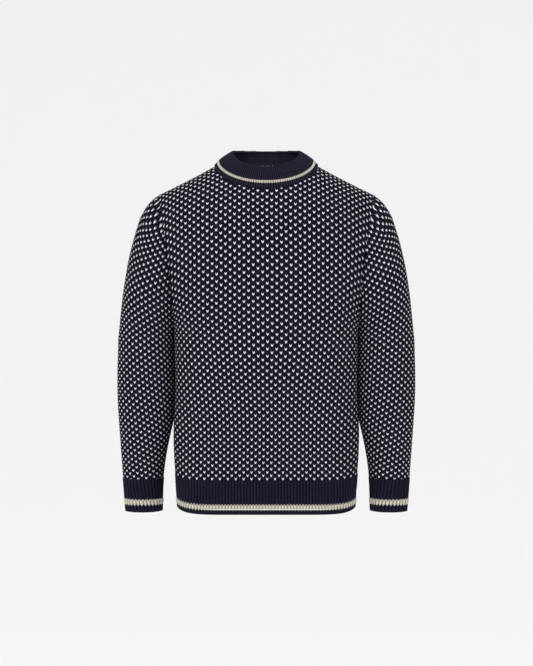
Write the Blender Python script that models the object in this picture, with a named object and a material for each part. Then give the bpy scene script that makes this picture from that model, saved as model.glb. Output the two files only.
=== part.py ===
"""Knitted jumper with a mock neck, ribbed hem and cuffs, and contrast stripes.

Metres, +Z up, front towards -Y. The origin is midway between the high shoulder points, where the
jumper hangs on its wearer. The garment stands filled, as on a body form, with its sleeves down.
"""
import math

import bpy
import numpy as np

# Torso: heights are measured down from the high shoulder points.
BODY_LENGTH = 0.668
UNDERARM_DROP = 0.340
HEM_HALF_WIDTH = 0.1745
HIP_HALF_WIDTH = 0.1820
WAIST_HALF_WIDTH = 0.1785
CHEST_HALF_WIDTH = 0.1800
HIP_RISE = 0.143
WAIST_RISE = 0.233
FRONT_DEPTH = 0.124
BACK_DEPTH = 0.116
TORSO_SQUARENESS = 2.4
WAIST_FLATNESS = 4.0
HIP_FLATNESS = 6.4
HEM_FLATNESS = 8.0
WAIST_FOLD = 1.9
HIP_FOLD = 1.4
HEM_FOLD = 1.2

# Shoulders and armholes.
SHOULDER_POINT_OUT = 0.211
SHOULDER_POINT_DROP = 0.057
SHOULDER_ROUNDING = 0.170
SHOULDER_CURVE = 0.92
COLLAR_RISE = 0.012
ARMHOLE_WRAP = 0.127
ARMHOLE_WRAP_HEIGHT = 0.110

# Sleeves.
SLEEVE_LENGTH_DROP = 0.676
UPPER_SLEEVE_WIDTH = 0.109
ELBOW_WIDTH = 0.1125
ELBOW_DROP = 0.435
FOREARM_WIDTH = 0.0900
FOREARM_DROP = 0.554
CUFF_WIDTH = 0.0705
SLEEVE_HALF_DEPTH = 0.066
CUFF_HALF_DEPTH = 0.036
SLEEVE_SQUARENESS = 2.2
SLEEVE_SPREAD = 0.030
SPREAD_DROP = 0.492
SPREAD_EASE = 0.08
SLEEVE_BEND_RISE = 0.110
SLEEVE_BEND_DROP = 0.012
HEAD_DEPTH_CURVE = 0.8
HEAD_OPENING = 0.012
HEAD_REACH = 0.988
HEAD_TURN = 12

# Neckband.
NECK_HALF_WIDTH = 0.101
NECK_FRONT_DROP = 0.057
NECK_BACK_DROP = 0.0100
NECK_CURVE = 0.5
BAND_TOP_NARROWING = 0.034
BAND_TOP_FRONT_DEPTH = 0.070
BAND_TOP_BACK_DEPTH = 0.056
BAND_TOP_SIDE_RISE = 0.029
BAND_TOP_FRONT_DROP = 0.037
BAND_TOP_BACK_RISE = 0.009
BAND_TOP_BACK_CURVE = 0.6
BAND_BOW = 0.004
NECK_BASE_HEIGHT = 0.0105
NECK_STRIPE_HEIGHT = 0.0064

# Ribs and stripes.
HEM_EDGE = 0.0115
HEM_STRIPE = 0.0100
HEM_RIB = 0.0425
CUFF_EDGE = 0.0140
CUFF_STRIPE = 0.0100
CUFF_RIB = 0.0410

# Cloth thicknesses and clearances.
WALL = 0.0035
RIB_WALL = 0.0045
GAP = 0.0005
ARM_GAP = 0.0012
HEAD_GAP_SHARE = 0.0192
NECK_SEAT = 0.0032
NECK_GAP = 0.0016
EDGE_SHARE = 0.996
TINY = 1e-5
NORMAL_STEP = 1e-3

# Seam allowances, tapes and the care label, inside the cloth.
SEAM_WIDTH = 0.0090
SEAM_THICKNESS = 0.0022
SIDE_SEAM_STAND_OFF = 0.0022
SIDE_SEAM_BULGE = 8.9
SIDE_SEAM_STOP = 0.006
SLEEVE_SEAM_STAND_OFF = 0.0018
SLEEVE_SEAM_HOLLOW = 20.0
SLEEVE_SEAM_STOP = 0.018
TAPE_NECK_INSET = 0.006
TAPE_POINT_INSET = 0.020
TAPE_DEPTH = 0.0105
ARMHOLE_SEAM_RISE = 0.030
ARMHOLE_SEAM_STOP = 0.050
ARMHOLE_SEAM_SHARES = (0.97, 0.91)
ARMHOLE_SEAM_DEPTH = 0.0085
ARMHOLE_SEAM_INSET = 0.004
ARMHOLE_SEAM_FLAT = 0.25
ARMHOLE_SEAM_TURN = 6
LABEL_WIDTH = 0.030
LABEL_LENGTH = 0.055
LABEL_THICKNESS = 0.0008
LABEL_RISE = 0.090
LABEL_STAND_OFF = 0.020
LABEL_BEHIND = 0.008

# Facets across and up each shell, and the angle past which an edge is sharp.
PANEL_FACETS = (22, 24)
HEAD_FACETS = (26, 6)
SLEEVE_FACETS = (24, 16)
NECK_FACETS = 40
SHARP_ANGLE = math.radians(50)

NAVY = (0.011, 0.011, 0.026)
NAVY_RIB = (0.012, 0.014, 0.034)
OFF_WHITE = (0.60, 0.57, 0.47)
LABEL_WHITE = (0.75, 0.75, 0.73)

UNDERARM = -UNDERARM_DROP
SHOULDER_POINT = -SHOULDER_POINT_DROP
HEM = -BODY_LENGTH
CUFF_END = -SLEEVE_LENGTH_DROP
BAND_TOP_HALF_WIDTH = NECK_HALF_WIDTH - BAND_TOP_NARROWING
HEAD_GAP = HEAD_GAP_SHARE * UNDERARM_DROP ** 2


def clamp(value, low=0.0, high=1.0):
    return min(max(value, low), high)


def ease(t):
    """Smooth step from 0 to 1."""
    t = clamp(t)
    return t * t * (3 - 2 * t)


def through(stations):
    """A smooth curve of value against position through (position, value) stations."""
    stations = sorted(stations)
    where = [s[0] for s in stations]
    value = [s[1] for s in stations]
    slope = np.gradient(value, where)

    def at(x):
        x = clamp(x, where[0], where[-1])
        i = min(max(int(np.searchsorted(where, x)) - 1, 0), len(where) - 2)
        span = where[i + 1] - where[i]
        t = (x - where[i]) / span
        a = value[i] * (1 + 2 * t) * (1 - t) ** 2 + slope[i] * span * t * (1 - t) ** 2
        b = value[i + 1] * t * t * (3 - 2 * t) - slope[i + 1] * span * t * t * (1 - t)
        return float(a + b)

    return at


def round_power(value, power):
    return math.copysign(abs(value) ** power, value)


body_half_width = through([
    (HEM, HEM_HALF_WIDTH),
    (HEM + HIP_RISE, HIP_HALF_WIDTH),
    (HEM + WAIST_RISE, WAIST_HALF_WIDTH),
    (UNDERARM, CHEST_HALF_WIDTH),
])

# How square the torso's level section is: 2 is an ellipse.
front_flatness = through([
    (HEM, HEM_FLATNESS),
    (HEM + HIP_RISE, HIP_FLATNESS),
    (HEM + WAIST_RISE, WAIST_FLATNESS),
    (UNDERARM, TORSO_SQUARENESS),
])
side_fold = through([
    (HEM, HEM_FOLD),
    (HEM + HIP_RISE, HIP_FOLD),
    (HEM + WAIST_RISE, WAIST_FOLD),
    (UNDERARM, TORSO_SQUARENESS),
])

# The sleeve head's roundness: the share of the way out reached at each share of the way down.
head_roundness = through([
    (0.0, 0.0), (0.04, 0.17), (0.14, 0.42), (0.24, 0.545), (0.43, 0.725), (0.62, 0.845), (1.0, 1.0),
])

sleeve_half_depth = through([
    (UNDERARM, SLEEVE_HALF_DEPTH),
    (-FOREARM_DROP, (SLEEVE_HALF_DEPTH + 2 * CUFF_HALF_DEPTH) / 3),
    (CUFF_END, CUFF_HALF_DEPTH),
])


def armhole_share(z):
    """How far z lies from the underarm, 0, to the shoulder point, 1."""
    return clamp((z - UNDERARM) / (SHOULDER_POINT - UNDERARM))


def panel_half_width(z):
    """From the centre to the side seam or, above the underarm, to the armhole edge."""
    if z <= UNDERARM:
        return body_half_width(z)
    return CHEST_HALF_WIDTH + (SHOULDER_POINT_OUT - CHEST_HALF_WIDTH) * armhole_share(z) ** 2


def shoulder_height(share):
    """Height of the shoulder line at a share of the way from the centre to the shoulder point."""
    out = abs(share) * SHOULDER_POINT_OUT
    t = (out - NECK_HALF_WIDTH) / (SHOULDER_POINT_OUT - NECK_HALF_WIDTH)
    if t <= 0:
        return COLLAR_RISE * (1 - (out / NECK_HALF_WIDTH) ** 2)
    return SHOULDER_POINT * t ** SHOULDER_CURVE


def edge_angle(z):
    """Section angle of the panel's edge: a right angle at a side seam, less along the armhole."""
    if z <= UNDERARM:
        return math.pi / 2
    wrap = 1 + ARMHOLE_WRAP * ease((z - UNDERARM) / ARMHOLE_WRAP_HEIGHT)
    return math.asin(wrap ** (-TORSO_SQUARENESS / 2))


def torso_point(side, share, z):
    """Outer surface of the front (side -1) or back (side +1) at a share across and a height."""
    full = edge_angle(z)
    power = 2 / TORSO_SQUARENESS
    out = round_power(math.sin(share * full), power)
    x = panel_half_width(z) * out / round_power(math.sin(full), power)
    depth = FRONT_DEPTH if side < 0 else BACK_DEPTH
    depth *= clamp(1 - abs(out) ** front_flatness(z)) ** (1 / side_fold(z))
    top = shoulder_height(share_of_line(share))
    rise = clamp((z - top + SHOULDER_ROUNDING) / SHOULDER_ROUNDING)
    y = depth * math.sqrt(1 - rise * rise)
    return (x, side * (y + GAP), z)


def share_of_line(share):
    """The share along the shoulder line of the column at this share of the section angle."""
    full = edge_angle(SHOULDER_POINT)
    power = 2 / TORSO_SQUARENESS
    return round_power(math.sin(abs(share) * full) / math.sin(full), power)


def neck_height(side, x):
    """Height of the neckline at x on the front or the back."""
    drop = NECK_FRONT_DROP if side < 0 else NECK_BACK_DROP
    return -drop * clamp(1 - (x / NECK_HALF_WIDTH) ** 2) ** NECK_CURVE


def column_top(side, share):
    """Where a panel's column ends: on the shoulder line, or on the neckline inside it."""
    x = share_of_line(share) * SHOULDER_POINT_OUT
    if x >= NECK_HALF_WIDTH:
        return shoulder_height(share_of_line(share))
    return neck_height(side, x) - GAP


def column_height(side, share, low, t):
    """Height at a share t of the way up a column, closer together over the shoulder."""
    top = column_top(side, share)
    line = shoulder_height(share_of_line(share))
    bend = line - SHOULDER_ROUNDING
    last = math.asin(clamp((top - bend) / SHOULDER_ROUNDING))
    arc = SHOULDER_ROUNDING * last
    run = (bend - low) + arc
    along = t * run
    if along <= bend - low:
        return low + along
    return bend + SHOULDER_ROUNDING * math.sin((along - bend + low) / SHOULDER_ROUNDING)


def sleeve_inner(z):
    """The sleeve's edge nearest the body, or the armhole above the underarm."""
    if z > UNDERARM:
        return panel_half_width(z)
    spread = clamp((-SPREAD_DROP - z) / (SLEEVE_LENGTH_DROP - SPREAD_DROP))
    spread *= spread / (spread + SPREAD_EASE)
    return body_half_width(z) + ARM_GAP + SLEEVE_SPREAD * math.sin(spread * math.pi / 2)


outer_line = through([
    (UNDERARM, sleeve_inner(UNDERARM) + UPPER_SLEEVE_WIDTH),
    (-ELBOW_DROP, sleeve_inner(-ELBOW_DROP) + ELBOW_WIDTH),
    (-FOREARM_DROP, sleeve_inner(-FOREARM_DROP) + FOREARM_WIDTH),
    (CUFF_END, sleeve_inner(CUFF_END) + CUFF_WIDTH),
])


def sleeve_outer(z):
    """The sleeve's outer edge: a round head from the shoulder point, then the hanging line."""
    if z <= UNDERARM:
        return outer_line(z)
    out = outer_line(UNDERARM) - SHOULDER_POINT_OUT
    return SHOULDER_POINT_OUT + out * head_roundness(1 - armhole_share(z))


def sleeve_section(z, side):
    """Centre, half width, half depth and end angle of half the sleeve's level section, front or back."""
    inner = sleeve_inner(z)
    outer = sleeve_outer(z)
    if z <= UNDERARM:
        return (inner + outer) / 2, (outer - inner) / 2, sleeve_half_depth(z), math.pi
    at_seam = abs(torso_point(side, 1.0, z)[1])
    depth = math.hypot(at_seam, SLEEVE_HALF_DEPTH * (1 - armhole_share(z)) ** HEAD_DEPTH_CURVE)
    back = (1 - (at_seam / depth) ** SLEEVE_SQUARENESS) ** (1 / SLEEVE_SQUARENESS)
    half = (outer - inner) / (1 + back)
    return inner + back * half, half, depth, math.acos(-back ** (SLEEVE_SQUARENESS / 2))


def sleeve_point(angle, z):
    """Left sleeve's outer surface: angle 0 points out from the body, +90 degrees to the front."""
    centre, half, depth, _ = sleeve_section(z, -1 if math.sin(angle) > 0 else 1)
    power = 2 / SLEEVE_SQUARENESS
    x = centre + half * round_power(math.cos(angle), power)
    y = -depth * round_power(math.sin(angle), power)
    return (x, y, z)


def neckline_point(turn, t):
    """Neckband surface: turn 0 is the left side, a quarter the back; t is the share of the way up."""
    angle = 2 * math.pi * turn
    side = 1 if math.sin(angle) >= 0 else -1
    x = NECK_HALF_WIDTH * math.cos(angle)
    z = neck_height(side, x)
    share = x / SHOULDER_POINT_OUT
    rise = clamp((z - shoulder_height(share) + SHOULDER_ROUNDING) / SHOULDER_ROUNDING)
    depth = FRONT_DEPTH if side < 0 else BACK_DEPTH
    power = 2 / TORSO_SQUARENESS
    across = math.asin(abs(share) ** (TORSO_SQUARENESS / 2) * math.sin(edge_angle(SHOULDER_POINT)))
    y = side * depth * math.cos(across) ** power * math.sqrt(max(1 - rise * rise, 0.0))
    around = abs(math.sin(angle))
    top_depth = BAND_TOP_FRONT_DEPTH if side < 0 else BAND_TOP_BACK_DEPTH
    top_x = BAND_TOP_HALF_WIDTH * math.cos(angle)
    top_y = top_depth * math.sin(angle)
    lift = -BAND_TOP_FRONT_DROP * around if side < 0 else BAND_TOP_BACK_RISE * around ** BAND_TOP_BACK_CURVE
    top_z = BAND_TOP_SIDE_RISE + lift
    bow = BAND_BOW * math.sin(math.pi * t)
    foot = np.array((x, y, z + NECK_SEAT))
    head = np.array((top_x, top_y, top_z))
    outward = np.array((math.cos(angle), math.sin(angle), 0.0))
    return tuple(foot + (head - foot) * t + outward * bow)


def offset(surface, u, v, depth, outward):
    """A point on the surface moved inwards by a depth, with outward the sign of its normal."""
    low_u, high_u = clamp(u - NORMAL_STEP), clamp(u + NORMAL_STEP)
    low_v, high_v = clamp(v - NORMAL_STEP), clamp(v + NORMAL_STEP)
    along = np.subtract(surface(high_u, v), surface(low_u, v))
    up = np.subtract(surface(u, high_v), surface(u, low_v))
    normal = np.cross(along, up) * outward
    size = np.linalg.norm(normal)
    if size == 0:
        return surface(u, v)
    return tuple(np.array(surface(u, v)) - normal / size * depth)


def material(name, colour, roughness):
    made = bpy.data.materials.new(name)
    made.use_nodes = True
    shader = made.node_tree.nodes["Principled BSDF"]
    shader.inputs["Base Color"].default_value = (*colour, 1.0)
    shader.inputs["Roughness"].default_value = roughness
    shader.inputs["Metallic"].default_value = 0.0
    return made


def shell(name, surface, counts, wall, paint, outward=1, closed=False, sunk=0.0, origin=None):
    """A cloth shell: a grid of the surface, the same grid set in by the wall, and its edges."""
    nu, nv = counts
    columns = nu if closed else nu + 1
    points = []
    for depth in (sunk, sunk + wall):
        for j in range(nv + 1):
            for i in range(columns):
                points.append(offset(surface, i / nu, j / nv, depth, outward))

    def vertex(layer, i, j):
        return layer * columns * (nv + 1) + j * columns + i % columns

    faces = []
    for j in range(nv):
        for i in range(nu):
            quad = [(i, j), (i + 1, j), (i + 1, j + 1), (i, j + 1)]
            faces.append([vertex(0, *c) for c in quad])
            faces.append([vertex(1, *c) for c in reversed(quad)])
    for i in range(nu):
        faces.append([vertex(0, i + 1, 0), vertex(0, i, 0), vertex(1, i, 0), vertex(1, i + 1, 0)])
        faces.append([vertex(0, i, nv), vertex(0, i + 1, nv), vertex(1, i + 1, nv), vertex(1, i, nv)])
    if not closed:
        for j in range(nv):
            faces.append([vertex(0, 0, j), vertex(0, 0, j + 1), vertex(1, 0, j + 1), vertex(1, 0, j)])
            faces.append([vertex(0, nu, j + 1), vertex(0, nu, j), vertex(1, nu, j), vertex(1, nu, j + 1)])
    if outward < 0:
        faces = [list(reversed(face)) for face in faces]
    return solid(name, points, faces, paint, origin)


def solid(name, points, faces, paint, origin=None):
    place = np.array(origin if origin is not None else (0.0, 0.0, 0.0))
    mesh = bpy.data.meshes.new(name)
    mesh.from_pydata([tuple(np.array(p) - place) for p in points], [], faces)
    mesh.materials.append(paint)
    mesh.update()
    mesh.shade_smooth()
    mesh.set_sharp_from_angle(angle=SHARP_ANGLE)
    made = bpy.data.objects.new(name, mesh)
    made.location = tuple(place)
    bpy.context.scene.collection.objects.link(made)
    return made


def torso_band(side, low, high):
    """A level band of the torso between two heights, from side seam to side seam."""

    def surface(u, v):
        return torso_point(side, (2 * u - 1) * EDGE_SHARE, low + (high - low) * v)

    return surface


def body_panel(side, low):
    """The whole patterned front or back, from the hem's rib to the shoulders and neckline."""

    def surface(u, v):
        share = (2 * u - 1) * EDGE_SHARE
        return torso_point(side, share, column_height(side, abs(share), low, v))

    return surface


def mirrored(surface):
    def other(u, v):
        x, y, z = surface(u, v)
        return (-x, y, z)

    return other


def bend_height(angle):
    """Height of the slanted line where a sleeve's head ends and its hanging length begins."""
    return UNDERARM - SLEEVE_BEND_DROP + SLEEVE_BEND_RISE * (1 + math.cos(angle)) / 2


def sleeve_head(u, v):
    """Round the armhole from underarm over the shoulder point and back; v runs in from the bend."""
    way = 2 * u - 1
    front = 1 if way < 0 else -1
    seam_z = UNDERARM + (SHOULDER_POINT - UNDERARM) * math.sin((1 - abs(way)) * math.pi / 2)
    seam_z = clamp(seam_z, UNDERARM + TINY, SHOULDER_POINT - TINY)
    seam_angle = sleeve_section(seam_z, -front)[3]
    lower_angle = abs(way) * (math.pi - HEAD_OPENING)
    seam_angle *= min(1.0, abs(way) * HEAD_TURN)
    reach = v * HEAD_REACH
    angle = lower_angle + (seam_angle - lower_angle) * reach ** 2
    lower_z = bend_height(lower_angle) + GAP
    z = lower_z + (seam_z - lower_z) * reach
    x, y, z = sleeve_point(front * angle, z)
    return (x + HEAD_GAP * v, y, z - HEAD_GAP * v)


def sleeve_length(u, v):
    """The hanging length of the sleeve, from the cuff's rib up to the bend."""
    angle = 2 * math.pi * u + math.pi
    low = CUFF_END + CUFF_EDGE + CUFF_STRIPE + CUFF_RIB + GAP
    high = bend_height(angle) - GAP
    return sleeve_point(angle, low + (high - low) * v)


def sleeve_band(low, high):
    def surface(u, v):
        return sleeve_point(2 * math.pi * u + math.pi, low + (high - low) * v)

    return surface


def neck_part(low, high):
    def surface(u, v):
        return neckline_point(u, low + (high - low) * v)

    return surface


def side_seam_strip(u, v):
    """Seam allowance inside the left side seam, from the hem's stripe to the underarm."""
    across = (2 * u - 1) * SEAM_WIDTH / 2
    low, high = HEM + HEM_EDGE + HEM_STRIPE, UNDERARM - SIDE_SEAM_STOP
    z = low + (high - low) * v
    bulge = across ** 2 * SIDE_SEAM_BULGE
    return (body_half_width(z) - RIB_WALL - SIDE_SEAM_STAND_OFF - bulge, across, z)


def sleeve_seam_strip(u, v):
    """Seam allowance inside the left sleeve's underarm line."""
    across = (2 * u - 1) * SEAM_WIDTH / 2
    low = CUFF_END + CUFF_EDGE + CUFF_STRIPE
    high = UNDERARM - SLEEVE_SEAM_STOP
    z = low + (high - low) * v
    hollow = across ** 2 * SLEEVE_SEAM_HOLLOW
    return (sleeve_inner(z) + RIB_WALL + SLEEVE_SEAM_STAND_OFF + hollow, -across, z)


def shoulder_tape(u, v):
    """Stay tape inside the left shoulder seam, from the neck to the shoulder point."""
    low, high = NECK_HALF_WIDTH + TAPE_NECK_INSET, SHOULDER_POINT_OUT - TAPE_POINT_INSET
    x = low + (high - low) * v
    z = shoulder_height(x / SHOULDER_POINT_OUT) - TAPE_DEPTH
    return (x, (2 * u - 1) * SEAM_WIDTH / 2, z)


def armhole_strip(u, v):
    """Seam allowance just inside the left armhole, on the body's side of the seam."""
    way = 2 * u - 1
    side = -1 if way < 0 else 1
    top = math.sin((1 - abs(way)) * math.pi / 2)
    z = UNDERARM + ARMHOLE_SEAM_RISE + (SHOULDER_POINT - UNDERARM - ARMHOLE_SEAM_STOP) * top
    outer, inner = ARMHOLE_SEAM_SHARES
    x, y, _ = torso_point(side, outer + (inner - outer) * v, z)
    flat = min(1.0, abs(way) * ARMHOLE_SEAM_TURN + ARMHOLE_SEAM_FLAT)
    y = side * max(abs(y) - ARMHOLE_SEAM_DEPTH, abs(y) / 2) * flat
    return (x - ARMHOLE_SEAM_INSET, y, z - ARMHOLE_SEAM_INSET)


def build_torso(paints):
    """Front and back panels with their ribs, stripes and edges."""
    edge_top = HEM + HEM_EDGE
    stripe_top = edge_top + HEM_STRIPE
    rib_top = stripe_top + HEM_RIB
    for side, word in ((-1, "front"), (1, "back")):
        facing = -side
        shell(f"{word}_body", body_panel(side, rib_top + GAP), PANEL_FACETS, WALL, paints["navy"], facing)
        bands = (
            ("hem_rib", stripe_top + GAP, rib_top, paints["rib"], 2),
            ("hem_stripe", edge_top + GAP, stripe_top, paints["white"], 1),
            ("hem_edge", HEM, edge_top, paints["rib"], 1),
        )
        for part, low, high, paint, rows in bands:
            surface = torso_band(side, low, high)
            shell(f"{word}_{part}", surface, (PANEL_FACETS[0], rows), RIB_WALL, paint, facing)


def build_sleeve(word, hand, paints):
    """One sleeve with its cuff; hand is +1 on the wearer's left. It turns about the bend's outer end."""
    pivot = pivot_point(hand)

    def add(name, surface, counts, wall, paint, facing, closed=False, origin=None):
        own = surface if hand > 0 else mirrored(surface)
        shell(f"{word}_{name}", own, counts, wall, paint, facing * hand, closed, origin=origin)

    edge_top = CUFF_END + CUFF_EDGE
    stripe_top = edge_top + CUFF_STRIPE
    rib_top = stripe_top + CUFF_RIB
    navy, rib, white = paints["navy"], paints["rib"], paints["white"]
    add("sleeve_head", sleeve_head, HEAD_FACETS, WALL, navy, 1)
    add("sleeve", sleeve_length, SLEEVE_FACETS, WALL, navy, -1, True, pivot)
    for part, low, high, paint, rows in (
        ("cuff_rib", stripe_top + GAP, rib_top, rib, 2),
        ("cuff_stripe", edge_top + GAP, stripe_top, white, 1),
        ("cuff_edge", CUFF_END, edge_top, rib, 1),
    ):
        add(part, sleeve_band(low, high), (SLEEVE_FACETS[0], rows), RIB_WALL, paint, -1, True, pivot)
    add("sleeve_seam", sleeve_seam_strip, (2, 14), SEAM_THICKNESS, navy, 1, origin=pivot)
    add("side_seam", side_seam_strip, (2, 12), SEAM_THICKNESS, navy, 1)
    add("armhole_seam", armhole_strip, (24, 1), SEAM_THICKNESS, navy, 1)
    add("shoulder_tape", shoulder_tape, (2, 6), SEAM_THICKNESS, rib, -1)


def pivot_point(hand):
    """The outer end of the slanted line where the sleeve bends away from its head."""
    z = bend_height(0.0)
    return (hand * sleeve_outer(z), 0.0, z)


def build_neck(paints):
    """The mock neck: a plain rib foot, the stripe and the standing rib."""
    slant = math.dist(neckline_point(0.75, 0.0), neckline_point(0.75, 1.0))
    base = NECK_BASE_HEIGHT / slant
    stripe = base + NECK_STRIPE_HEIGHT / slant
    gap = NECK_GAP / slant
    for name, low, high, paint, rows in (
        ("neckband_base", 0.0, base, paints["rib"], 1),
        ("neck_stripe", base + gap, stripe, paints["white"], 1),
        ("neckband_rib", stripe + gap, 1.0, paints["rib"], 3),
    ):
        shell(name, neck_part(low, high), (NECK_FACETS, rows), RIB_WALL, paint, 1, True)


def build_label(paint):
    """A blank care label that hangs inside, by the left side seam."""
    low = HEM + LABEL_RISE
    outer = body_half_width(low) - LABEL_STAND_OFF
    inner = outer - LABEL_THICKNESS
    near, far = LABEL_BEHIND, LABEL_BEHIND + LABEL_WIDTH
    corners = []
    for z in (low, low + LABEL_LENGTH):
        corners += [(inner, near, z), (outer, near, z), (outer, far, z), (inner, far, z)]
    faces = [(3, 2, 1, 0), (4, 5, 6, 7)]
    faces += [(i, (i + 1) % 4, (i + 1) % 4 + 4, i + 4) for i in range(4)]
    solid("care_label", corners, faces, paint)


def build():
    for old in list(bpy.data.objects):
        bpy.data.objects.remove(old, do_unlink=True)
    paints = {
        "navy": material("navy_knit", NAVY, 0.9),
        "rib": material("navy_rib_knit", NAVY_RIB, 0.9),
        "white": material("off_white_knit", OFF_WHITE, 0.9),
    }
    build_torso(paints)
    build_sleeve("left", 1, paints)
    build_sleeve("right", -1, paints)
    build_neck(paints)
    build_label(material("label_satin", LABEL_WHITE, 0.5))


build()
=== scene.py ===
"""Knitted jumper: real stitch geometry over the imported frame, with procedural yarn materials."""
import math

import bpy
import numpy as np
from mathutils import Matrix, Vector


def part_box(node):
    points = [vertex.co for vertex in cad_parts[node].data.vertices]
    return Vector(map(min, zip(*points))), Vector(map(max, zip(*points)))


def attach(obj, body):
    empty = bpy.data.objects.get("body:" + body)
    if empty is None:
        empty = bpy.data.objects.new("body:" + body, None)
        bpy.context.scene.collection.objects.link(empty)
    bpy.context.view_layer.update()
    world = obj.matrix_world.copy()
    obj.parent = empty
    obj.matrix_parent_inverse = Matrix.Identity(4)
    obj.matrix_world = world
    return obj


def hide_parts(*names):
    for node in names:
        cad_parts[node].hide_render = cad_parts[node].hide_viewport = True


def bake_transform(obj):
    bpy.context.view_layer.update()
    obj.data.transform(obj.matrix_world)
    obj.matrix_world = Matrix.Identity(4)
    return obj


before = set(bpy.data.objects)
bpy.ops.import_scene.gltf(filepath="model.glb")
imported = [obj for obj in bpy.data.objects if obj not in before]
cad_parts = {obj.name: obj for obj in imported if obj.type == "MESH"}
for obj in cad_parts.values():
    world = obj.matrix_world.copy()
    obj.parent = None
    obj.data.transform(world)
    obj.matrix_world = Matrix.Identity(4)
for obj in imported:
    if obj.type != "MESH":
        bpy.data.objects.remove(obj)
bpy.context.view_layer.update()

# The garment's sizes in metres, as the frame has them: heights are below the shoulder points.
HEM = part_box("front_hem_edge")[0][2]
HEM_EDGE_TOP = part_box("front_hem_edge")[1][2] - 0.0030
HEM_STRIPE_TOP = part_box("front_hem_stripe")[1][2] - 0.0045
HEM_RIB_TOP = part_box("front_hem_rib")[1][2]
CUFF_END = -0.676
CUFF_EDGE_TOP = -0.662
CUFF_STRIPE_TOP = -0.652
CUFF_RIB_TOP = -0.611
UNDERARM = -0.340
SHOULDER_POINT = -0.057
SHOULDER_OUT = 0.211
CHEST_HALF_WIDTH = 0.180
FRONT_DEPTH = 0.124
BACK_DEPTH = 0.116
SHOULDER_ROUNDING = 0.170
COLLAR_RISE = 0.012
ARMHOLE_WRAP = 0.127
ARMHOLE_WRAP_HEIGHT = 0.110
TORSO_SQUARENESS = 2.4
SLEEVE_SQUARENESS = 2.2
SLEEVE_HALF_DEPTH = 0.066
CUFF_HALF_DEPTH = 0.036
SPREAD_DROP = 0.492
SPREAD_EASE = 0.08
SLEEVE_SPREAD = 0.030
NECK_HALF_WIDTH = 0.101
NECK_FRONT_DROP = 0.057
NECK_BACK_DROP = 0.0100
BAND_TOP = {"half": 0.067, "front": 0.070, "back": 0.056, "rise": 0.029, "drop": 0.037, "lift": 0.009}
NECK_SEAT = 0.0032
NECK_BASE = 0.0118
NECK_STRIPE = 0.0050

# Knit gauges: one stitch's width and one course's height, and the rib's pitch.
STITCH = 0.0044
COURSE = 0.00345
SLEEVE_DENSER = 1.10
RIB_PITCH = 0.0070
NECK_PITCH = 0.0042
NECK_RIBS = 128
RIB_COURSE = 0.0036
STRIPE_LAP = 0.004
ROLL = 0.0035
WALL = 0.0026
RIB_WALL = 0.0030

# How far the yarn stands out of the cloth, and the share of that left between two courses.
PANEL_LIFT = 0.0011
PANEL_VALLEY = 0.30
RIB_LIFT = 0.0020
RIB_VALLEY = 0.80
STRIPE_LIFT_RATIO = 1.1
STRIPE_VALLEY = 0.45
STRIPE_PROUD = 0.0007
NECK_BASE_LIFT = 0.0012
NECK_STRIPE_LIFT = 0.0016
NECK_RIB_LIFT = 0.0014

# Seams, creases and the cloth's slow unevenness.
STRIP_HALF_WIDTH = 0.0045
CREASE_WIDTH = 0.009
CREASE_DEPTH = 0.0060
BODY_WAVE = 0.0012
SLEEVE_WAVE = 0.0016
ROW_WAVE = 0.0016
COLUMN_WAVE = 0.0012

# The camera's distance and height, the width it sees at the shoulders' plane, and the stage.
CAMERA_DISTANCE = 2.5
CAMERA_HEIGHT = -0.3276
SEEN_WIDTH = 533 * 0.00197
STAGE_REACH = 9.0
STAGE_HALF_WIDTH = 14.0
STAGE_FLOOR = -4.0
STAGE_BEND = 1.0


def through(stations):
    """A smooth curve of value against position through (position, value) stations."""
    stations = sorted(stations)
    where = np.array([s[0] for s in stations])
    value = np.array([s[1] for s in stations])
    slope = np.gradient(value, where)

    def at(x):
        x = np.clip(x, where[0], where[-1])
        i = np.clip(np.searchsorted(where, x) - 1, 0, len(where) - 2)
        span = where[i + 1] - where[i]
        t = (x - where[i]) / span
        a = value[i] * (1 + 2 * t) * (1 - t) ** 2 + slope[i] * span * t * (1 - t) ** 2
        return a + value[i + 1] * t * t * (3 - 2 * t) - slope[i + 1] * span * t * t * (1 - t)

    return at


def ease(t):
    t = np.clip(t, 0, 1)
    return t * t * (3 - 2 * t)


def round_power(value, power):
    return np.sign(value) * np.abs(value) ** power


body_half_width = through([
    (HEM, 0.1745), (HEM + 0.143, 0.1820), (HEM + 0.233, 0.1785), (UNDERARM, CHEST_HALF_WIDTH),
])
front_flatness = through([
    (HEM, 8.0), (HEM + 0.143, 6.4), (HEM + 0.233, 4.0), (UNDERARM, TORSO_SQUARENESS),
])
side_fold = through([
    (HEM, 1.2), (HEM + 0.143, 1.4), (HEM + 0.233, 1.9), (UNDERARM, TORSO_SQUARENESS),
])
head_roundness = through([
    (0.0, 0.0), (0.04, 0.17), (0.14, 0.42), (0.24, 0.545), (0.43, 0.725), (0.62, 0.845), (1.0, 1.0),
])
sleeve_half_depth = through([
    (UNDERARM, SLEEVE_HALF_DEPTH),
    (-0.554, (SLEEVE_HALF_DEPTH + 2 * CUFF_HALF_DEPTH) / 3),
    (CUFF_END, CUFF_HALF_DEPTH),
])


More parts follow.
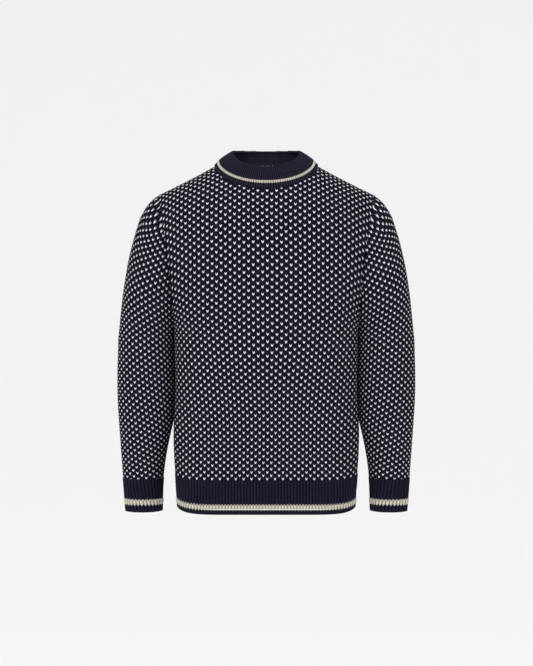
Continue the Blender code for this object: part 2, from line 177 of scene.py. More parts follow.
# Courses up a sleeve's outer line by height, and how far those at the armhole side lead them.
sleeve_courses = through([
    (-0.676, -0.0780), (-0.611, 0.0), (-0.565, 0.0552), (-0.490, 0.1437), (-0.416, 0.2244), (-0.340, 0.3042),
    (-0.266, 0.3780), (-0.190, 0.4440), (-0.130, 0.4960), (-0.057, 0.5660),
])
row_lead = through([
    (-0.611, -0.010), (-0.490, -0.008), (-0.416, 0.0), (-0.340, 0.012), (-0.266, 0.026), (-0.190, 0.037),
    (-0.160, 0.042), (-0.130, 0.044), (-0.100, 0.031), (-0.080, 0.018), (-0.057, 0.0),
])


def armhole_share(z):
    return np.clip((z - UNDERARM) / (SHOULDER_POINT - UNDERARM), 0, 1)


def panel_half_width(z):
    upper = CHEST_HALF_WIDTH + (SHOULDER_OUT - CHEST_HALF_WIDTH) * armhole_share(z) ** 2
    return np.where(z <= UNDERARM, body_half_width(z), upper)


def edge_angle(z):
    wrap = 1 + ARMHOLE_WRAP * ease((z - UNDERARM) / ARMHOLE_WRAP_HEIGHT)
    return np.arcsin(wrap ** (-TORSO_SQUARENESS / 2))


def line_share(share):
    """Share along the shoulder line of a column at this share of the section's angle."""
    full = edge_angle(SHOULDER_POINT)
    return round_power(np.sin(np.abs(share) * full) / np.sin(full), 2 / TORSO_SQUARENESS)


def shoulder_line():
    """The shoulder line's height against distance out, rounded where the collar starts."""
    out = np.linspace(0, SHOULDER_OUT, 423)
    t = np.clip((out - NECK_HALF_WIDTH) / (SHOULDER_OUT - NECK_HALF_WIDTH), 0, None)
    collar = COLLAR_RISE * (1 - np.minimum(out / NECK_HALF_WIDTH, 1) ** 2)
    line = np.where(t <= 0, collar, SHOULDER_POINT * t ** 0.92)
    window = np.hanning(63)
    near = np.pad(line, 31, mode="reflect", reflect_type="odd")
    return out, np.convolve(near, window / window.sum(), mode="valid")


SHOULDER_LINE = shoulder_line()


def shoulder_height(share):
    return np.interp(np.abs(share) * SHOULDER_OUT, *SHOULDER_LINE)


def torso_section(side, share, z):
    """Level section of the front (side -1) or back (side +1), before the shoulders round it."""
    full = edge_angle(z)
    power = 2 / TORSO_SQUARENESS
    out = round_power(np.sin(share * full), power)
    x = panel_half_width(z) * out / np.sin(full) ** power
    depth = FRONT_DEPTH if side < 0 else BACK_DEPTH
    return x, depth * np.clip(1 - np.abs(out) ** front_flatness(z), 0, 1) ** (1 / side_fold(z))


def torso_point(side, share, z):
    x, y = torso_section(side, share, z)
    rise = (z - shoulder_height(line_share(share)) + SHOULDER_ROUNDING) / SHOULDER_ROUNDING
    flat = np.sqrt(1 - np.clip(rise, 0, 1) ** 2)
    return np.stack([x, side * (y * flat + 0.0003), z + 0 * x], axis=-1)


def neck_height(side, x):
    drop = NECK_FRONT_DROP if side < 0 else NECK_BACK_DROP
    return -drop * np.sqrt(1 - np.minimum(np.abs(x) / NECK_HALF_WIDTH, 1) ** 2)


def column_height(share, low, t):
    """Height at a share t of the way up a column, evenly along the cloth to the shoulder line."""
    bend = shoulder_height(line_share(share)) - SHOULDER_ROUNDING
    along = t * (bend - low + SHOULDER_ROUNDING * math.pi / 2)
    over = np.clip((along - bend + low) / SHOULDER_ROUNDING, 0, math.pi / 2)
    return np.where(along <= bend - low, low + along, bend + SHOULDER_ROUNDING * np.sin(over))


def neck_limit(side, share, low):
    """Share t of the way up each column at which the neckline cuts it."""
    x = np.abs(line_share(share)) * SHOULDER_OUT
    bend = shoulder_height(line_share(share)) - SHOULDER_ROUNDING
    over = np.arcsin(np.clip((neck_height(side, x) + 0.002 - bend) / SHOULDER_ROUNDING, 0, 1))
    cut = (bend - low + SHOULDER_ROUNDING * over) / (bend - low + SHOULDER_ROUNDING * math.pi / 2)
    return np.where(x < NECK_HALF_WIDTH, cut, 1.0)


def sleeve_inner(z):
    spread = np.clip((-SPREAD_DROP - z) / (-CUFF_END - SPREAD_DROP), 0, 1)
    spread = spread * spread / (spread + SPREAD_EASE)
    lower = body_half_width(z) + 0.0012 + SLEEVE_SPREAD * np.sin(spread * math.pi / 2)
    return np.where(z > UNDERARM, panel_half_width(z), lower)


outer_line = through([
    (z, float(sleeve_inner(z)) + width)
    for z, width in ((UNDERARM, 0.109), (-0.435, 0.1125), (-0.554, 0.090), (CUFF_END, 0.0705))
])


def sleeve_outer(z):
    out = outer_line(UNDERARM) - SHOULDER_OUT
    head = SHOULDER_OUT + out * head_roundness(1 - armhole_share(z))
    return np.where(z <= UNDERARM, outer_line(z), head)


def sleeve_half_section(z, side):
    """Centre, half width, half depth and end angle of the front or back half of a level section."""
    inner, outer = sleeve_inner(z), sleeve_outer(z)
    at_seam = np.abs(torso_point(side, np.ones_like(z), z)[..., 1])
    above = z > UNDERARM
    depth = np.where(
        above,
        np.hypot(at_seam, SLEEVE_HALF_DEPTH * (1 - armhole_share(z)) ** 0.8),
        sleeve_half_depth(z),
    )
    share = np.where(above, np.minimum(at_seam / depth, 1), 0)
    back = (1 - share ** SLEEVE_SQUARENESS) ** (1 / SLEEVE_SQUARENESS)
    half = (outer - inner) / (1 + back)
    end = np.arccos(-back ** (SLEEVE_SQUARENESS / 2))
    return inner + back * half, half, depth, np.where(above, end, math.pi)


def sleeve_point(share, z):
    """Left sleeve: share 0 is the outer line, -1 the back's edge and +1 the front's."""
    points = None
    for side in (1, -1):
        centre, half, depth, end = sleeve_half_section(z, side)
        angle = np.abs(share) * end
        power = 2 / SLEEVE_SQUARENESS
        x = centre + half * round_power(np.cos(angle), power)
        y = side * depth * np.abs(np.sin(angle)) ** power
        here = np.stack([x, y, z + 0 * x], axis=-1)
        points = here if points is None else np.where((share > 0)[..., None], here, points)
    return points


def neck_point(turn, t):
    """Neckband: turn 0 is the left side and a quarter the back; t runs up."""
    angle = 2 * math.pi * turn
    front = np.sin(angle) < 0
    x = NECK_HALF_WIDTH * np.cos(angle)
    z = np.where(front, neck_height(-1, x), neck_height(1, x))
    share = np.abs(x) / SHOULDER_OUT
    rise = np.clip((z - shoulder_height(share) + SHOULDER_ROUNDING) / SHOULDER_ROUNDING, 0, 1)
    across = np.arcsin(share ** (TORSO_SQUARENESS / 2) * np.sin(edge_angle(SHOULDER_POINT)))
    depth = np.where(front, -FRONT_DEPTH, BACK_DEPTH)
    y = depth * np.cos(across) ** (2 / TORSO_SQUARENESS) * np.sqrt(1 - rise ** 2)
    around = np.abs(np.sin(angle))
    top_y = np.where(front, BAND_TOP["front"], BAND_TOP["back"]) * np.sin(angle)
    lift = np.where(front, -BAND_TOP["drop"] * around, BAND_TOP["lift"] * around ** 0.6)
    top = [BAND_TOP["half"] * np.cos(angle), top_y, BAND_TOP["rise"] + lift]
    foot = [x, y, z + NECK_SEAT]
    bow = 0.004 * np.sin(math.pi * t)
    out = [np.cos(angle) * bow, np.sin(angle) * bow, 0 * bow]
    return np.stack([f + (h - f) * t + o for f, h, o in zip(foot, top, out)], axis=-1)


def steps(points, axis):
    """Length along a grid of points, from its first row or column."""
    gaps = np.linalg.norm(np.diff(points, axis=axis), axis=-1)
    total = np.cumsum(gaps, axis=axis)
    zero = np.zeros_like(np.take(total, [0], axis=axis))
    return np.concatenate([zero, total], axis=axis)


class Cloth:
    """A surface on a grid, with each point's place across and along the knitting, in metres."""

    def __init__(self, points, across, along, flip=1, limit=None):
        self.points, self.across, self.along = points, across, along
        self.limit = np.ones(len(across)) if limit is None else limit
        normal = np.cross(np.gradient(points, axis=0), np.gradient(points, axis=1)) * flip
        size = np.linalg.norm(normal, axis=-1, keepdims=True)
        self.normal = normal / np.maximum(size, 1e-12)
        self.slopes = [np.gradient(field, axis=axis) for field in (across, along) for axis in (0, 1)]

    def sample(self, field, a, b):
        na, nb = self.across.shape
        a = np.clip(a, 0, 1) * (na - 1)
        b = np.clip(b, 0, 1) * (nb - 1)
        i = np.minimum(a.astype(int), na - 2)
        j = np.minimum(b.astype(int), nb - 2)
        p, q = a - i, b - j
        if field.ndim == 3:
            p, q = p[..., None], q[..., None]
        low = field[i, j] * (1 - p) + field[i + 1, j] * p
        high = field[i, j + 1] * (1 - p) + field[i + 1, j + 1] * p
        return low * (1 - q) + high * q

    def locate(self, s, r):
        """Grid place (a, b) of each point s across and r along, held to the cloth's edges."""
        na, nb = self.across.shape
        a = np.clip((s - self.across.min()) / np.ptp(self.across), 0, 1)
        b = np.clip(r / self.along.max(), 0, 1)
        places = np.linspace(0, 1, na)
        for _ in range(18):
            sa, sb, ra, rb = (self.sample(slope, a, b) for slope in self.slopes)
            off_s = s - self.sample(self.across, a, b)
            off_r = r - self.sample(self.along, a, b)
            size = np.maximum(sa * rb - sb * ra, 1e-9)
            da = (rb * off_s - sb * off_r) / size
            db = (sa * off_r - ra * off_s) / size
            top = np.interp(a, places, self.limit)
            at_side = (a + da / (na - 1) < 0) | (a + da / (na - 1) > 1)
            at_end = (b + db / (nb - 1) < 0) | (b + db / (nb - 1) > top)
            db = np.where(at_side, off_r / np.maximum(rb, 1e-6), db)
            da = np.where(at_end, off_s / np.maximum(sa, 1e-6), da)
            a = np.clip(a + np.clip(da / (na - 1), -0.15, 0.15), 0, 1)
            b = np.clip(b + np.clip(db / (nb - 1), -0.15, 0.15), 0, np.interp(a, places, self.limit))
        miss_s = np.abs(s - self.sample(self.across, a, b))
        miss_r = np.abs(r - self.sample(self.along, a, b))
        return a, b, np.maximum(miss_s, miss_r) < 2e-4


# One period of knitting across: place, height of the V there, and lift of the yarn.
STOCKING = [(0.0, 0.82, 0.08), (0.22, 0.48, 1.0), (0.5, 0.0, 0.34), (0.78, 0.48, 1.0)]
RIB = [(0.0, 1.0, 0.42), (0.14, 0.5, 0.95), (0.31, 0.0, 0.80), (0.48, 0.5, 0.95),
       (0.62, 1.0, 0.42), (0.74, 1.0, 0.06), (0.88, 1.0, 0.06)]


def knit(name, cloth, layout, pitch, course, lift, valley, paint, slots, wall=WALL, ribbed_back=False,
         rows=None, proud=0.0):
    """Closed knitted cloth: yarn relief outside, a plain or ribbed inside, and walls at its edges.

    With rows, a (start, count) pair, only those courses are knitted and their zigzag edges show.
    """
    low_s, high_s = cloth.across.min(), cloth.across.max()
    first, last = math.floor(low_s / pitch) - 1, math.ceil(high_s / pitch) + 1
    places, shifts, lifts = (np.array([row[k] for row in layout]) for k in range(3))
    n = len(layout)
    column = np.arange((last - first) * n + 1)
    s = (first + column // n + places[column % n]) * pitch
    lowest, highest = math.floor(cloth.along.min() / course) - 1, math.ceil(cloth.along.max() / course) + 1
    start = 0.0
    if rows:
        start, lowest, highest = rows[0], 0, rows[1]
    level = np.arange(2 * lowest, 2 * highest + 1)
    r = (level[None, :] / 2 + shifts[column % n][:, None]) * course + start
    s = np.broadcast_to(s[:, None], r.shape)
    a, b, inside = cloth.locate(s, r)
    place = cloth.sample(cloth.points, a, b)
    normal = cloth.sample(cloth.normal, a, b)
    normal /= np.maximum(np.linalg.norm(normal, axis=-1, keepdims=True), 1e-9)
    wave = np.where(level % 2 == 1, 1.0, valley)[None, :]
    height = lifts[column % n][:, None] * wave * lift + proud
    height = np.where(inside, height, 0.0)
    outer = place + normal * height[..., None]
    depth = wall + (lift * (lifts[column % n][:, None] - 0.5) * 0.9 if ribbed_back else 0)
    inner = place - normal * np.broadcast_to(depth, height.shape)[..., None]

    nc, nl = len(column) - 1, (len(level) - 1) // 2
    touched = inside[:-1, :] | inside[1:, :]
    kept = touched[:, 0:-1:2][:, :nl] | touched[:, 1::2][:, :nl] | touched[:, 2::2][:, :nl]
    width = len(level)
    total = outer.shape[0] * width
    index = np.arange(total).reshape(outer.shape[0], width)
    faces, tones = [], []
    ci, cj = np.nonzero(kept)
    tone = paint((ci // n) + first, cj + lowest, ci % n)
    for half in (0, 1):
        j = 2 * cj + half
        quad = np.stack([index[ci, j], index[ci + 1, j], index[ci + 1, j + 1], index[ci, j + 1]], axis=1)
        faces.append(quad)
        tones.append(tone)
    outer_faces = np.concatenate(faces)
    outer_tones = np.concatenate(tones)

    padded = np.zeros((nc + 2, nl + 2), bool)
    padded[1:-1, 1:-1] = kept
    polygons = []
    walls = []
    for i, j in zip(ci.tolist(), cj.tolist()):
        left, right = not padded[i, j + 1], not padded[i + 2, j + 1]
        J = 2 * j
        ring = [index[i, J]]
        if left:
            ring.append(index[i, J + 1])
            walls += [(index[i, J + 1], index[i, J]), (index[i, J + 2], index[i, J + 1])]
        ring.append(index[i, J + 2])
        if not padded[i + 1, j + 2]:
            walls.append((index[i + 1, J + 2], index[i, J + 2]))
        ring.append(index[i + 1, J + 2])
        if right:
            ring.append(index[i + 1, J + 1])
            walls += [(index[i + 1, J], index[i + 1, J + 1]), (index[i + 1, J + 1], index[i + 1, J + 2])]
        ring.append(index[i + 1, J])
        if not padded[i + 1, j]:
            walls.append((index[i, J], index[i + 1, J]))
        polygons.append([int(v) + total for v in ring])
    rims = [(int(q), int(p), int(p) + total, int(q) + total) for p, q in walls]
    return closed_mesh(name, outer, inner, outer_faces, outer_tones, polygons + rims, slots, s, r)


def closed_mesh(name, outer, inner, faces, tones, others, slots, s, r):
    """Joins the outside, inside and edge walls in one mesh with materials and a cloth map."""
    points = np.concatenate([outer.reshape(-1, 3), inner.reshape(-1, 3)])
    every = [tuple(f) for f in faces.tolist()] + [tuple(f) for f in others]
    used = np.zeros(len(points), bool)
    for f in every:
        used[list(f)] = True
    renumber = np.cumsum(used) - 1
    every = [tuple(int(renumber[v]) for v in f) for f in every]
    mesh = bpy.data.meshes.new(name)
    mesh.from_pydata(points[used].tolist(), [], every)
    back = slots["back"]
    mesh.polygons.foreach_set(
        "material_index", np.concatenate([tones, np.full(len(others), back)]).astype(np.int32))
    mesh.polygons.foreach_set("use_smooth", np.ones(len(every), bool))
    for material in slots["materials"]:
        mesh.materials.append(material)
    u = (s - s.min()) / np.ptp(s)
    v = (r - r.min()) / np.ptp(r)
    flat = np.stack([u, v], axis=-1).reshape(-1, 2)
    both = np.concatenate([flat * (1, 0.84), flat * (1, 0.13) + (0, 0.86)])[used]
    layer = mesh.uv_layers.new(name="OFBake")
    corner = np.empty(len(mesh.loops), np.int32)
    mesh.loops.foreach_get("vertex_index", corner)
    layer.data.foreach_set("uv", both[corner].ravel())
    mesh.validate()
    mesh.update()
    made = bpy.data.objects.new(name, mesh)
    bpy.context.scene.collection.objects.link(made)
    return made


def grid(na, nb, low_a=-1.0, high_a=1.0):
    return np.meshgrid(np.linspace(low_a, high_a, na), np.linspace(0, 1, nb), indexing="ij")


def waves(points, seed):
    """Slow uneven waves over a cloth, from about -1 to 1."""
    x, z = points[..., 0], points[..., 2]
    wave = np.sin(23 * x + 9 * z + seed) * np.sin(14 * z - 11 * x + 2.1 * seed)
    return 0.6 * wave + 0.4 * np.sin(37 * z + 16 * x + 1.3 * seed) * np.sin(19 * x + 0.7 * seed)


def stitches_across(side, share, z):
    """Knitting width from the middle of a panel: drawn wider towards the sides lower down."""
    levels = np.linspace(z.min(), z.max(), 81)
    fine, height = np.meshgrid(share[:, 0], levels, indexing="ij")
    x, y = torso_section(side, fine, height)
    drawn = ease((-0.28 - height) / 0.26)
    table = steps(np.stack([x, y * (1 - 0.75 * drawn)], axis=-1), 0)
    table = (table - table[len(table) // 2][None, :]) * (1 + 0.20 * drawn)
    return np.stack([np.interp(z[i], levels, table[i]) for i in range(len(z))])


def courses_along(points, denser):
    """Knitting length up a panel, with each height's courses this much denser."""
    middle = (points[:, 1:, 2] + points[:, :-1, 2]) / 2
    length = np.diff(steps(points, 1), axis=1) * denser(middle)
    return np.concatenate([np.zeros((len(points), 1)), np.cumsum(length, axis=1)], axis=1)


def sink_seam(points, across, z):
    """Draws the armhole seam in, so that a crease runs up from under the arm."""
    edge = np.where(across > 0, across[-1][None, :], -across[0][None, :])
    near = np.exp(-(edge - np.abs(across)) / CREASE_WIDTH)
    depth = CREASE_DEPTH * ease((z + 0.40) / 0.06) * ease((-0.13 - z) / 0.10)
    points[..., 1] -= np.sign(points[..., 1]) * near * np.minimum(depth, 0.6 * np.abs(points[..., 1]))


def torso_cloth(side, low, high=None):
    share, t = grid(181, 241 if high is None else 25)
    if high is None:
        z = column_height(share, low, t)
    else:
        z = low + (high - low) * t
    points = torso_point(side, share, z)
    across = stitches_across(side, share, z)
    along = steps(points, 1)
    limit = None
    if high is None:
        along = courses_along(points, lambda level: 1 + 0.12 * ease((-0.30 - level) / 0.28))
        limit = neck_limit(side, share[:, 0], low)
        sink_seam(points, across, z)
        calm = ease((1 - np.abs(share)) * 8) * ease(t * 8) * ease((1 - t) * 5)
        points[..., 1] += waves(points, 1.0 + side) * BODY_WAVE * calm
        along += waves(points, 4.0 + side) * ROW_WAVE * ease(t * 8)
        across = across + waves(points, 7.0 + side) * COLUMN_WAVE
    return Cloth(points, across, along, flip=-side, limit=limit)


def sleeve_cloth(hand, low, high):
    share, t = grid(181, 241 if high > UNDERARM else 25)
    z = low + (high - low) * t
    points = sleeve_point(share, z)
    across = steps(points, 0)
    across -= across[len(across) // 2][None, :]
    along = steps(points, 1)
    if high > UNDERARM:
        sink_seam(points, across, z)
        lead = row_lead(z) * (1 - np.cos(share * math.pi)) / 2
        along = sleeve_courses(z) + lead * SLEEVE_DENSER + waves(points, 5.0 + hand) * ROW_WAVE * ease(t * 8)
        across = across * SLEEVE_DENSER + waves(points, 8.0 + hand) * COLUMN_WAVE
        calm = ease((1 - np.abs(share)) * 6) * ease(t * 8) * ease((1 - t) * 4)
        points[..., 1] += waves(points, 3.0 + hand) * SLEEVE_WAVE * calm * np.sign(points[..., 1])
    if hand < 0:
        points = points * (-1, 1, 1)
    return Cloth(points, across, along, flip=-hand)


def neck_cloth(low, high):
    turn, t = grid(361, 41, 0.0, 1.0)
    up = low + (high - low) * t
    points = neck_point(turn, up)
    along = steps(points, 1)
    if high == 1.0:
        below = np.clip(1 - (along[:, -1:] - along) / ROLL, 0, 1)
        angle = 2 * math.pi * turn
        inward = ROLL * (1 - np.sqrt(1 - below ** 2)) * 0.75
        points[..., 0] -= np.cos(angle) * inward
        points[..., 1] -= np.sin(angle) * inward
    return Cloth(points, turn * NECK_RIBS * NECK_PITCH, along, flip=1)


def yarn(name, colour, deep, fuzz, roughness, sheen):
    """Wool yarn: twisted plies, loose fibres, uneven dye and a soft sheen."""
    made = bpy.data.materials.new(name)
    made.use_nodes = True
    nodes, links = made.node_tree.nodes, made.node_tree.links
    shader = nodes["Principled BSDF"]
    shader.inputs["Roughness"].default_value = roughness
    shader.inputs["Sheen Weight"].default_value = sheen
    shader.inputs["Sheen Roughness"].default_value = 0.55
    shader.inputs["Sheen Tint"].default_value = (*fuzz, 1)
    shader.inputs["Specular IOR Level"].default_value = 0.10
    place = nodes.new("ShaderNodeTexCoord")
    dye = nodes.new("ShaderNodeTexNoise")
    dye.inputs["Scale"].default_value = 210
    dye.inputs["Detail"].default_value = 4
    ramp = nodes.new("ShaderNodeValToRGB")
    ramp.color_ramp.elements[0].position = 0.32
    ramp.color_ramp.elements[0].color = (*deep, 1)
    ramp.color_ramp.elements[1].position = 0.68
    ramp.color_ramp.elements[1].color = (*colour, 1)
    fibre = nodes.new("ShaderNodeTexNoise")
    fibre.inputs["Scale"].default_value = 1500
    fibre.inputs["Detail"].default_value = 3
    bump = nodes.new("ShaderNodeBump")
    bump.inputs["Strength"].default_value = 0.55
    bump.inputs["Distance"].default_value = 0.0004
    links.new(place.outputs["Object"], dye.inputs["Vector"])
    links.new(place.outputs["Object"], fibre.inputs["Vector"])
    links.new(dye.outputs["Fac"], ramp.inputs["Fac"])
    links.new(ramp.outputs["Color"], shader.inputs["Base Color"])
    links.new(fibre.outputs["Fac"], bump.inputs["Height"])
    links.new(bump.outputs["Normal"], shader.inputs["Normal"])
    return made


NAVY_FUZZ = (0.3, 0.3, 0.4)
navy = yarn("navy_wool", (0.0105, 0.0100, 0.0250), (0.0055, 0.0055, 0.0145), (0.3, 0.3, 0.45), 0.95, 0.02)
navy_rib = yarn("navy_rib_wool", (0.0165, 0.0165, 0.0350), (0.0115, 0.0115, 0.0250), NAVY_FUZZ, 0.95, 0.03)
# Painted shade: a darker navy on the purl valleys between the hem and cuff ribs, where shade falls.
navy_valley_painted_shade = yarn(
    "navy_rib_valley_painted_shade", (0.0050, 0.0055, 0.0140), (0.0030, 0.0035, 0.0090), NAVY_FUZZ, 0.95, 0.0)
# Painted light: the neckband's navy is lighter than the other ribs so that its shaded inside reads as bright
# as the front.
neck_rib_painted_light = yarn("navy_neck_wool_painted_light", (0.0260, 0.0235, 0.0440), (0.0190, 0.0175, 0.0330), NAVY_FUZZ, 0.95, 0.03)
# Painted shade: a near-black navy on the valleys between the neckband's ribs.
neck_valley_painted_shade = yarn(
    "navy_neck_valley", (0.0022, 0.0022, 0.0060), (0.0012, 0.0012, 0.0035), NAVY_FUZZ, 0.95, 0.0)
white = yarn("off_white_wool", (0.93, 0.93, 0.92), (0.84, 0.84, 0.83), (0.9, 0.9, 0.88), 0.9, 0.10)
cream = yarn("cream_wool", (0.78, 0.74, 0.63), (0.64, 0.60, 0.50), (0.9, 0.88, 0.8), 0.9, 0.10)
# Painted shade: a darker cream on the valleys between the stripes' ribs.
cream_valley_painted_shade = yarn("cream_valley_painted_shade", (0.36, 0.34, 0.29), (0.26, 0.24, 0.20), (0.9, 0.88, 0.8), 0.9, 0.02)

PATTERN = {"materials": [navy, white], "back": 0}
# Each rib set's second material is painted shade for the valleys between its ribs.
PLAIN_RIB = {"materials": [navy_rib, navy_valley_painted_shade], "back": 0}
NECK_RIB = {"materials": [neck_rib_painted_light, neck_valley_painted_shade], "back": 0}
STRIPE = {"materials": [cream, cream_valley_painted_shade], "back": 0}


def lice(column, row, part):
    """Single white stitches, every fourth each way, with every other one moved by half."""
    on = (column % 4 == 0) & (row % 4 == 0) | (column % 4 == 2) & (row % 4 == 2)
    return on.astype(np.int32)


def plain(column, row, part):
    return np.zeros(len(column), np.int32)


def ribs(column, row, part):
    """The ribs' faces in the yarn's own colour, and painted shade on the valleys between them."""
    return (part >= 4).astype(np.int32)


def patterned(name, cloth):
    return knit(name, cloth, STOCKING, STITCH, COURSE, PANEL_LIFT, PANEL_VALLEY, lice, PATTERN)


def ribbed(name, cloth, pitch=RIB_PITCH, lift=RIB_LIFT, slots=PLAIN_RIB):
    return knit(name, cloth, RIB, pitch, RIB_COURSE, lift, RIB_VALLEY, ribs, slots, RIB_WALL, True)


def striped(name, cloth, height, pitch, lift):
    """A contrast stripe: whole courses whose zigzag edges overlap the ribs above and below."""
    count = max(round(height / RIB_COURSE), 2)
    course = height / count
    rows = (STRIPE_LAP - 0.42 * course, count)
    return knit(name, cloth, RIB, pitch, course, lift, STRIPE_VALLEY, ribs, STRIPE, RIB_WALL, True,
                rows, STRIPE_PROUD)


def band_piece(part, name, surface, low, high):
    """One ribbed band, or a stripe, on surface(low, high), which gives the cloth between two heights."""
    if part == "stripe":
        lapped = surface(low - STRIPE_LAP, high + STRIPE_LAP)
        return striped(name, lapped, high - low, RIB_PITCH, RIB_LIFT * STRIPE_LIFT_RATIO)
    return ribbed(name, surface(low, high))


def place_piece(piece, body, slot, *nodes):
    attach(piece, body)
    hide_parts(*nodes)
    return piece


def make_torso():
    for side, word in ((-1, "front"), (1, "back")):
        body = patterned(f"{word}_knit", torso_cloth(side, HEM_RIB_TOP))
        place_piece(body, "torso", "navy_knit", f"{word}_body")
        bands = []
        for part, low, high, slot in (
            ("rib", HEM_STRIPE_TOP, HEM_RIB_TOP, "navy_rib_knit"),
            ("stripe", HEM_EDGE_TOP, HEM_STRIPE_TOP, "off_white_knit"),
            ("edge", HEM, HEM_EDGE_TOP, "navy_rib_knit"),
        ):
            name = f"{word}_hem_{part}"
            band = band_piece(part, f"{name}_knit", lambda a, b: torso_cloth(side, a, b), low, high)
            bands.append(place_piece(band, "torso", slot, name))
        if side > 0:
            bands += [make_strip(f"{hand}_{kind}", "torso") for hand in ("left", "right")
                      for kind in ("side_seam", "armhole_seam", "shoulder_tape")]


def make_sleeve(word, hand):
    arm = f"{word}_arm"
    sleeve = patterned(f"{word}_sleeve_knit", sleeve_cloth(hand, CUFF_RIB_TOP, SHOULDER_POINT - 0.0005))
    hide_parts(f"{word}_sleeve", f"{word}_sleeve_head")
    for part, low, high, slot in (
        ("rib", CUFF_STRIPE_TOP, CUFF_RIB_TOP, "navy_rib_knit"),
        ("stripe", CUFF_EDGE_TOP, CUFF_STRIPE_TOP, "off_white_knit"),
        ("edge", CUFF_END, CUFF_EDGE_TOP, "navy_rib_knit"),
    ):
        name = f"{word}_cuff_{part}"
        band = band_piece(part, f"{name}_knit", lambda a, b: sleeve_cloth(hand, a, b), low, high)
        place_piece(band, arm, slot, name)
    make_strip(f"{word}_sleeve_seam", arm)
    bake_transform(sleeve)


def make_neck():
    front = np.array(0.75)
    slant = float(np.linalg.norm(neck_point(front, np.array(1.0)) - neck_point(front, np.array(0.0))))
    base = NECK_BASE / slant
    stripe = base + NECK_STRIPE / slant
    place_piece(ribbed("neckband_base_knit", neck_cloth(0.0, base), NECK_PITCH, NECK_BASE_LIFT, NECK_RIB),
                "torso", "navy_rib_knit", "neckband_base")
    lap = STRIPE_LAP / slant
    lapped = neck_cloth(base - lap, stripe + lap)
    place_piece(striped("neck_stripe_knit", lapped, NECK_STRIPE, NECK_PITCH, NECK_STRIPE_LIFT),
                "torso", "off_white_knit", "neck_stripe")
    place_piece(ribbed("neckband_rib_knit", neck_cloth(stripe, 1.0), NECK_PITCH, NECK_RIB_LIFT, NECK_RIB),
                "torso", "navy_rib_knit", "neckband_rib")


def side_seam(across, t):
    z = HEM + 0.0215 + (UNDERARM - 0.006 - HEM - 0.0215) * t
    return [body_half_width(z) - 0.0067 - 8.9 * across ** 2, across, z]


def sleeve_seam(across, t):
    z = CUFF_END + 0.024 + (UNDERARM - 0.018 - CUFF_END - 0.024) * t
    return [sleeve_inner(z) + 0.0063 + 20 * across ** 2, -across, z]


def shoulder_tape(across, t):
    x = NECK_HALF_WIDTH + 0.006 + (SHOULDER_OUT - NECK_HALF_WIDTH - 0.026) * t
    return [x, -across, shoulder_height(x / SHOULDER_OUT) - 0.0105]


def armhole_seam(across, t):
    way = 2 * t - 1
    z = UNDERARM + 0.030 + (SHOULDER_POINT - UNDERARM - 0.050) * np.sin((1 - np.abs(way)) * math.pi / 2)
    share = 0.94 - across * 6.6
    x, front_y, _ = np.moveaxis(torso_point(-1, share, z), -1, 0)
    back_x, back_y, _ = np.moveaxis(torso_point(1, share, z), -1, 0)
    x, y = np.where(way < 0, x, back_x), np.where(way < 0, front_y, back_y)
    y = np.sign(y) * np.maximum(np.abs(y) - 0.0085, np.abs(y) / 2) * np.minimum(1, np.abs(way) * 6 + 0.25)
    return [x - 0.004, y, z - 0.004]


STRIPS = {"side_seam": side_seam, "sleeve_seam": sleeve_seam,
          "shoulder_tape": shoulder_tape, "armhole_seam": armhole_seam}


def make_strip(node, body):
    """Linked seam allowance or stay tape inside the cloth, knitted plain."""
    word, kind = node.split("_", 1)
    share, t = grid(9, 121)
    points = np.stack(STRIPS[kind](share * STRIP_HALF_WIDTH, t), axis=-1)
    hand = 1 if word == "left" else -1
    points = points * (hand, 1, 1)
    cloth = Cloth(points, share * STRIP_HALF_WIDTH, steps(points, 1), flip=hand)
    slot = "navy_rib_knit" if kind == "shoulder_tape" else "navy_knit"
    piece = knit(f"{node}_knit", cloth, STOCKING, 0.003, 0.0026, 0.0007, 0.4, plain,
                 PLAIN_RIB if kind == "shoulder_tape" else PATTERN, 0.0012)
    return place_piece(piece, body, slot, node)


def make_label():
    """A blank woven care label that hangs from the side seam and curls a little."""
    low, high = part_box("care_label")
    x, y, z = np.meshgrid([0.0, 1.0], np.linspace(0, 1, 31), np.linspace(0, 1, 57), indexing="ij")
    curl = 0.0016 * np.sin(2.2 * y + 0.4) * np.sin(3.0 * z)
    points = np.stack([low[0] + (high[0] - low[0]) * x - curl, low[1] + (high[1] - low[1]) * y,
                       low[2] + (high[2] - low[2]) * z], axis=-1)
    index = np.arange(x.size).reshape(x.shape)
    faces = []
    for i in range(30):
        for j in range(56):
            near = [index[0, i, j], index[0, i, j + 1], index[0, i + 1, j + 1], index[0, i + 1, j]]
            faces.append(near)
            faces.append([index[1, i, j], index[1, i + 1, j], index[1, i + 1, j + 1], index[1, i, j + 1]])
    ring = [(i, 0) for i in range(30)] + [(30, j) for j in range(56)]
    ring += [(30 - i, 56) for i in range(30)] + [(0, 56 - j) for j in range(56)]
    for (i, j), (k, m) in zip(ring, ring[1:] + ring[:1]):
        faces.append([index[0, i, j], index[0, k, m], index[1, k, m], index[1, i, j]])
    mesh = bpy.data.meshes.new("care_label_cloth")
    mesh.from_pydata(points.reshape(-1, 3).tolist(), [], [[int(v) for v in f] for f in faces])
    mesh.materials.append(satin_weave())
    mesh.shade_smooth()
    label = bpy.data.objects.new("care_label_cloth", mesh)
    bpy.context.scene.collection.objects.link(label)
    place_piece(label, "torso", "label_satin", "care_label")


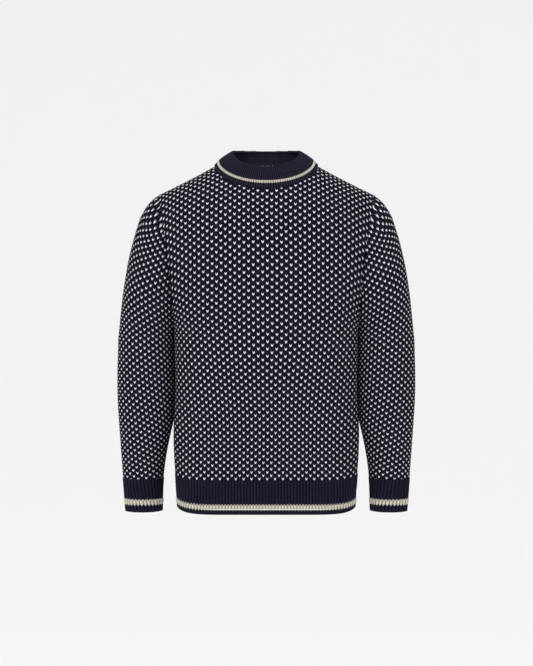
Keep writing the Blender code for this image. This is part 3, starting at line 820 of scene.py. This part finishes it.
def satin_weave():
    made = bpy.data.materials.new("label_satin_weave")
    made.use_nodes = True
    nodes, links = made.node_tree.nodes, made.node_tree.links
    shader = nodes["Principled BSDF"]
    shader.inputs["Base Color"].default_value = (0.75, 0.75, 0.73, 1)
    shader.inputs["Roughness"].default_value = 0.45
    place = nodes.new("ShaderNodeTexCoord")
    weave = nodes.new("ShaderNodeTexWave")
    weave.inputs["Scale"].default_value = 800
    weave.inputs["Distortion"].default_value = 1.5
    bump = nodes.new("ShaderNodeBump")
    bump.inputs["Distance"].default_value = 0.0001
    links.new(place.outputs["Object"], weave.inputs["Vector"])
    links.new(weave.outputs["Fac"], bump.inputs["Height"])
    links.new(bump.outputs["Normal"], shader.inputs["Normal"])
    return made


def make_stage():
    """A pale floor that sweeps up into a wall behind, far enough not to catch a shadow."""
    start = STAGE_REACH - STAGE_BEND
    profile = [(-STAGE_REACH, STAGE_FLOOR), (start, STAGE_FLOOR)]
    for k in range(1, 13):
        turn = k / 12 * math.pi / 2
        rise = STAGE_BEND * (1 - math.cos(turn))
        profile.append((start + STAGE_BEND * math.sin(turn), STAGE_FLOOR + rise))
    profile.append((STAGE_REACH, STAGE_REACH))
    points = [(x, y, z) for y, z in profile for x in (-STAGE_HALF_WIDTH, STAGE_HALF_WIDTH)]
    faces = [(2 * k, 2 * k + 1, 2 * k + 3, 2 * k + 2) for k in range(len(profile) - 1)]
    mesh = bpy.data.meshes.new("studio_sweep")
    mesh.from_pydata(points, [], faces)
    mesh.shade_smooth()
    pale = bpy.data.materials.new("pale_paper")
    pale.use_nodes = True
    shader = pale.node_tree.nodes["Principled BSDF"]
    shader.inputs["Base Color"].default_value = (0.84, 0.84, 0.84, 1)
    shader.inputs["Roughness"].default_value = 0.95
    mesh.materials.append(pale)
    sweep = bpy.data.objects.new("studio_sweep", mesh)
    bpy.context.scene.collection.objects.link(sweep)


def look_angles(direction):
    x, y, z = direction / np.linalg.norm(direction)
    return (math.acos(-z), 0.0, math.atan2(-x, y))


def sun(name, direction, strength, spread):
    data = bpy.data.lights.new(name, "SUN")
    data.energy = strength
    data.angle = math.radians(spread)
    lamp = bpy.data.objects.new(name, data)
    lamp.rotation_euler = look_angles(np.array(direction))
    bpy.context.scene.collection.objects.link(lamp)


def make_light_and_camera():
    world = bpy.data.worlds.new("studio")
    world.use_nodes = True
    world.node_tree.nodes["Background"].inputs["Color"].default_value = (1, 1, 1, 1)
    world.node_tree.nodes["Background"].inputs["Strength"].default_value = 0.55
    bpy.context.scene.world = world
    sun("key", (0.35, 0.80, -0.55), 1.35, 35)
    sun("fill", (-0.70, 0.70, -0.15), 0.45, 60)
    scene = bpy.context.scene
    scene.view_settings.view_transform = "Standard"
    data = bpy.data.cameras.new("camera")
    data.sensor_fit = "HORIZONTAL"
    data.sensor_width = 36
    data.lens = data.sensor_width * CAMERA_DISTANCE / SEEN_WIDTH
    camera = bpy.data.objects.new("camera", data)
    camera.location = (0.0004, -CAMERA_DISTANCE, CAMERA_HEIGHT)
    camera.rotation_euler = (math.pi / 2, 0, 0)
    scene.collection.objects.link(camera)
    scene.camera = camera


make_light_and_camera()
make_torso()
make_sleeve("left", 1)
make_sleeve("right", -1)
make_neck()
make_stage()
make_label()
